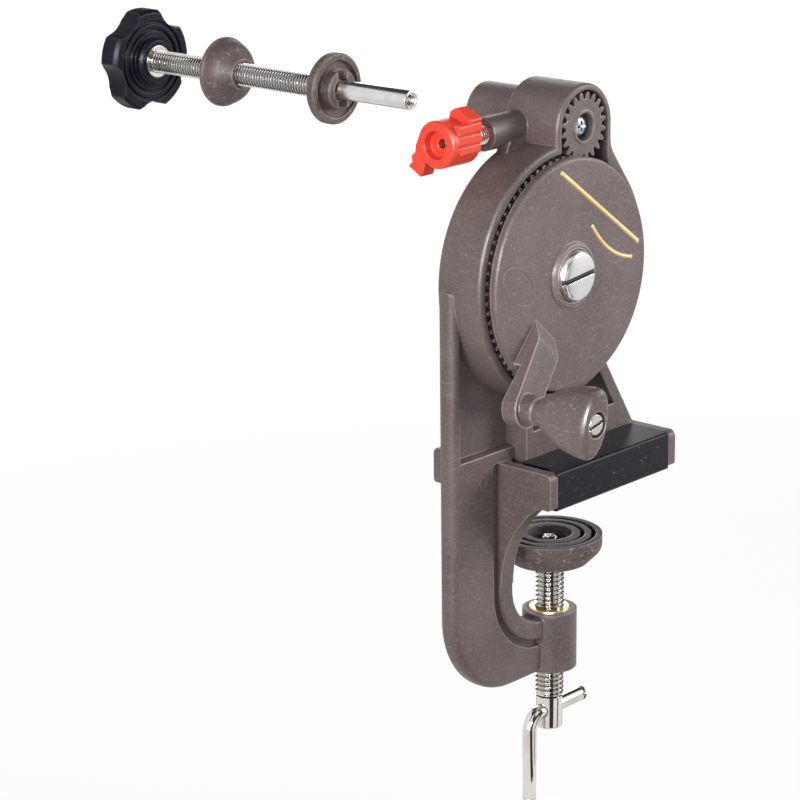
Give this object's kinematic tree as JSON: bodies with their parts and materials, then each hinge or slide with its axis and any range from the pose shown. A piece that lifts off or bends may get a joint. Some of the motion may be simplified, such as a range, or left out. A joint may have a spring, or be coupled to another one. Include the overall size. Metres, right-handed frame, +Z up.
{
  "type": "fishing line winder",
  "caption": "Hand-cranked line winder on a table clamp: geared disc with a crank, pinion-driven threaded spool spindle with flange, cone and star knob, and a screw brake.",
  "frame": {"origin": "on the clamp screw's axis, on the underside of the upper jaw, where the jaw's rubber rests on the table top", "axes": "+Z up along the clamp screw; -Y out of the geared disc's face; the clamp opens towards +X"},
  "size_m": [0.0865, 0.2539, 0.2456],
  "materials": {
    "brown_plastic": "moulded grey-brown, fine spark-eroded grain",
    "rubber": "smooth dark rubber",
    "nickel": "bright nickel plate",
    "brass": "turned brass",
    "zinc": "zinc-plated steel",
    "red_plastic": "semi-gloss moulded",
    "black_plastic": "moulded, slightly glossy",
    "felt": "plain nylon"
  },
  "bodies": {
    "frame": {"main_frame": "brown_plastic", "jaw_rubber": "rubber", "wheel_bolt": "nickel", "wheel_nut": "zinc", "wheel_washer": "zinc", "clamp_insert": "brass"},
    "wheel": {"crank_wheel": "brown_plastic", "grip_screw": "nickel"},
    "grip": {"crank_grip": "brown_plastic"},
    "pinion": {"spindle_pinion": "brown_plastic", "pinion_screw": "zinc"},
    "spindle": {"spindle_rod": "nickel", "spool_flange": "brown_plastic"},
    "cone": {"spool_cone": "brown_plastic"},
    "knob_carriage": {"knob_insert": "zinc"},
    "knob": {"star_knob": "black_plastic"},
    "shoe": {"brake_shoe": "felt"},
    "brake": {"brake_screw": "zinc", "brake_knob": "red_plastic"},
    "pad": {"clamp_pad": "brown_plastic"},
    "clamp": {"clamp_screw": "nickel"},
    "bar": {"tommy_bar": "nickel"}
  },
  "joints": [
    {"name": "wheel_spin", "type": "hinge", "parent": "frame", "child": "wheel", "pos_m": [-0.0095, -0.0117, 0.0721], "axis": [0, 1, 0], "continuous": true},
    {"name": "pinion_spin", "type": "hinge", "parent": "frame", "child": "pinion", "pos_m": [0.00046, 0.0033, 0.11701], "axis": [0, 1, 0], "continuous": true},
    {"name": "grip_spin", "type": "hinge", "parent": "wheel", "child": "grip", "pos_m": [-0.041, -0.0417, 0.03736], "axis": [0, 1, 0], "continuous": true},
    {"name": "spindle_pull", "type": "slide", "parent": "pinion", "child": "spindle", "axis": [0, -1, 0], "range_m": [0, 0.06]},
    {"name": "cone_slide", "type": "slide", "parent": "spindle", "child": "cone", "axis": [0, -1, 0], "range_m": [-0.014, 0.04]},
    {"name": "knob_travel", "type": "slide", "parent": "spindle", "child": "knob_carriage", "axis": [0, -1, 0], "range_m": [-0.009, 0.018]},
    {"name": "knob_turn", "type": "hinge", "parent": "knob_carriage", "child": "knob", "pos_m": [0.00046, 0.1833, 0.11701], "axis": [0, -1, 0], "range_deg": [-2600, 5200]},
    {"name": "brake_press", "type": "slide", "parent": "frame", "child": "shoe", "axis": [1, 0, 0], "range_m": [-0.008, 0.0003]},
    {"name": "brake_turn", "type": "hinge", "parent": "shoe", "child": "brake", "pos_m": [-0.0295, 0.0039, 0.11701], "axis": [1, 0, 0], "range_deg": [-2900, 120]},
    {"name": "clamp_feed", "type": "slide", "parent": "frame", "child": "pad", "axis": [0, 0, 1], "range_m": [-0.016, 0.0105]},
    {"name": "clamp_turn", "type": "hinge", "parent": "pad", "child": "clamp", "pos_m": [0, 0, -0.0379], "axis": [0, 0, 1], "range_deg": [-3650, 2400]},
    {"name": "bar_swing", "type": "hinge", "parent": "clamp", "child": "bar", "pos_m": [0, 0, -0.0806], "axis": [1, 0, 0], "range_deg": [-85, 85]}
  ],
  "couplings": [
    {"joint": "pinion_spin", "follows": "wheel_spin", "ratio": -3.6},
    {"joint": "knob_turn", "follows": "knob_travel", "rad_per_m": 5026.5},
    {"joint": "brake_turn", "follows": "brake_press", "rad_per_m": 6283.2},
    {"joint": "clamp_turn", "follows": "clamp_feed", "rad_per_m": 3957.9}
  ]
}
